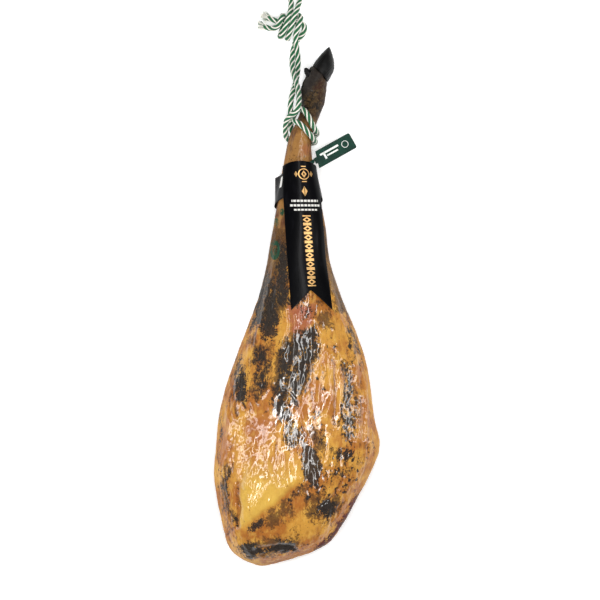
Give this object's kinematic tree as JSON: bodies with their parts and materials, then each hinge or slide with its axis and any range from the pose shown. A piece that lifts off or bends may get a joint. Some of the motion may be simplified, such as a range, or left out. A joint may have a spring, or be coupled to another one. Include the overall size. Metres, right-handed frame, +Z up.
{
  "type": "whole cured ham",
  "caption": "Whole bone-in cured ham lying on its lean side, foot and hoof on, with a knotted rope sling, a swallow-tailed card label, a paper collar and a plastic seal round the shank.",
  "frame": {"origin": "on the surface it rests on, under the middle of the ham's box, the rope left out", "axes": "+Y from the rump end to the hoof, +Z up from the lean side to the fat side, +X across the ham"},
  "size_m": [0.2498, 0.9086, 0.1301],
  "materials": {
    "skin_and_fat": "oily cured fat and dried skin, mottled yellow to dark brown, glossy",
    "horn": "black horn, satin",
    "rope": "laid fibre, green and white strands",
    "coated_card": "black laminated card with plain gold and white ornament",
    "coated_paper": "black coated paper with a plain white patch",
    "seal_plastic": "dark green moulded plastic with plain white bars"
  },
  "bodies": {
    "root": {"ham_leg": "skin_and_fat", "hoof_outer": "horn", "hoof_inner": "horn", "dewclaw_outer": "horn", "dewclaw_inner": "horn", "hanging_rope": "rope", "card_label": "coated_card", "paper_collar": "coated_paper", "plastic_seal": "seal_plastic"}
  },
  "joints": []
}
